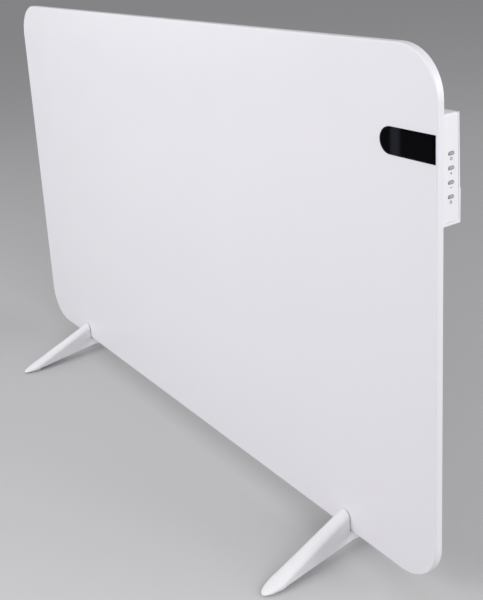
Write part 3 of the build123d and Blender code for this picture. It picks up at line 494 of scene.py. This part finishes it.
def markLines(name, settings):  # ring, plus, minus, and a broken ring with a bar
    radius, reach = settings["radius"], settings["reach"]
    line, foot, top = settings["line"], -settings["sunk"], settings["thickness"]
    if name == "mode":
        ring = arcPath(radius, 0, 360, settings["steps"], endpoint=False)
        return [inkLine(ring, line, foot, top, closedPath=True)]
    if name == "power":
        ring = arcPath(radius, *settings["ringSpan"], settings["steps"])
        bar = [(0, settings["barLow"]), (0, reach + settings["barPast"])]
        return [inkLine(ring, line, foot, top), inkLine(bar, line, foot, top)]
    bars = [inkLine([(-reach, 0), (reach, 0)], line, foot, top)]
    if name == "plus":
        bars.append(inkLine([(0, -reach), (0, reach)], line, foot, top * settings["crossLift"]))
    return bars


shells = []
for name, z in zip(buttons["names"], buttons["heights"]):
    centre = inMetres((buttonMarks["face"], buttons["depth"], z - buttonMarks["below"]))
    for points, faces in markLines(name, buttonMarks):
        shells.append((seatOn(points, centre, *sideView), faces))
makePiece("buttonMarks", shells, markInk, "heater")
print("button crowns and marks made")

# Cord inlet, in millimetres: grip lobes round the bushing's flange
inletGrip = {
    "place": (207.0, 33.75, 262.5),
    "radius": 8.3,  # of the flange
    "hold": 0.4,  # how far the ring reaches into the flange
    "land": 0.15,  # outside the flange, between the lobes
    "lobe": 0.35,
    "lobes": 24,
    "fullness": 0.6,  # power of the cosine, under 1 for broad lobes and narrow grooves
    "height": 1.1,
    "edgeDown": 0.2,  # the chamfer of the outer edge
    "edgeIn": 0.15,
    "around": 240,
}


def gripRing(settings):
    # A five-cornered section carried round, its outer radius = radius + land + lobe |cos|^fullness
    angle = np.linspace(0.0, 2 * math.pi, settings["around"], endpoint=False)
    ripple = settings["lobe"] * np.abs(np.cos(angle * settings["lobes"] / 2)) ** settings["fullness"]
    outer = settings["radius"] + settings["land"] + ripple
    inner = np.full_like(angle, settings["radius"] - settings["hold"])
    low, high = np.zeros_like(angle), np.full_like(angle, settings["height"])
    shoulder, edge = high - settings["edgeDown"], outer - settings["edgeIn"]
    section = [(inner, low), (outer, low), (outer, shoulder), (edge, high), (inner, high)]
    rings = [np.stack([r * np.cos(angle), r * np.sin(angle), h], axis=-1) for r, h in section]
    return closedShell(np.stack(rings, axis=1)[::-1])


points, faces = gripRing(inletGrip)
gripShell = (seatOn(points, inMetres(inletGrip["place"]), *rearView), faces)
makePiece("inletGrip", [gripShell], finishes["black_plastic"], "heater")
print("inlet grip made")

# Studio, in metres: pale floor, even surroundings and large soft lamps
studio = {
    "floorSize": 40.0,
    "floorColour": (0.34, 0.338, 0.342),  # as the heater is lit by it
    "floorSeen": (0.56, 0.558, 0.563),  # as the camera, gloss and glass see it
    "floorGloss": 0.1,
    "floorRoughness": 0.9,
    "floorRoughRange": (0.85, 0.95),
    "floorPatches": 3.0,
    "worldColour": (0.98, 0.975, 1.0),
    "worldStrength": 0.40,
    "lamps": [  # name, place, aim, width, height, watts
        ("frontLamp", (-0.05, -1.1, 0.6), (-0.02, 0.0, 0.3), 0.8, 0.5, 7.8),
        ("leftLamp", (-1.0, -0.9, 0.5), (-0.1, 0.0, 0.3), 0.8, 0.6, 2.6),
        ("sideLamp", (1.65, -0.35, 0.95), (0.27, 0.0, 0.25), 0.9, 0.8, 8.2),
        ("rearLamp", (1.7, 1.0, 0.8), (0.2, 0.0, 0.25), 1.0, 1.0, 17.2),
    ],
}


def makeFloor(settings):  # one flat square, in its paler colour for camera, glossy and transmitted rays
    half = settings["floorSize"] / 2
    corners = [(-half, -half, 0), (half, -half, 0), (half, half, 0), (-half, half, 0)]
    mesh = bpy.data.meshes.new("studioFloor")
    mesh.from_pydata(corners, [], [(0, 1, 2, 3)])
    floor = bpy.data.objects.new("studioFloor", mesh)
    scene.collection.objects.link(floor)
    finish = newFinish("floorPaint", settings["floorColour"], settings["floorRoughness"])
    tree = finish.node_tree
    shader = tree.nodes["Principled BSDF"]
    shader.inputs["Specular IOR Level"].default_value = settings["floorGloss"]
    path = tree.nodes.new("ShaderNodeLightPath")
    share = path.outputs["Is Camera Ray"]
    for ray in ("Is Glossy Ray", "Is Transmission Ray"):
        larger = tree.nodes.new("ShaderNodeMath")
        larger.operation = "MAXIMUM"
        tree.links.new(share, larger.inputs[0])
        tree.links.new(path.outputs[ray], larger.inputs[1])
        share = larger.outputs["Value"]
    paint = mixColours(tree, settings["floorColour"], settings["floorSeen"], share)
    tree.links.new(paint, shader.inputs["Base Color"])
    addRoughness(finish, *settings["floorRoughRange"], settings["floorPatches"])
    mesh.materials.append(finish)


def makeWorld(settings):
    world = bpy.data.worlds.new("studioWorld")
    world.use_nodes = True
    background = world.node_tree.nodes["Background"]
    background.inputs["Color"].default_value = (*settings["worldColour"], 1.0)
    background.inputs["Strength"].default_value = settings["worldStrength"]
    scene.world = world


def makeLamp(name, place, aim, width, height, watts):
    data = bpy.data.lights.new(name, "AREA")
    data.shape = "RECTANGLE"
    data.size = width
    data.size_y = height
    data.energy = watts
    lamp = bpy.data.objects.new(name, data)
    lamp.location = place
    lamp.rotation_euler = (Vector(aim) - Vector(place)).to_track_quat("-Z", "Y").to_euler()
    scene.collection.objects.link(lamp)


makeFloor(studio)
makeWorld(studio)
for lamp in studio["lamps"]:
    makeLamp(*lamp)
print("studio lit by", len(studio["lamps"]), "lamps")
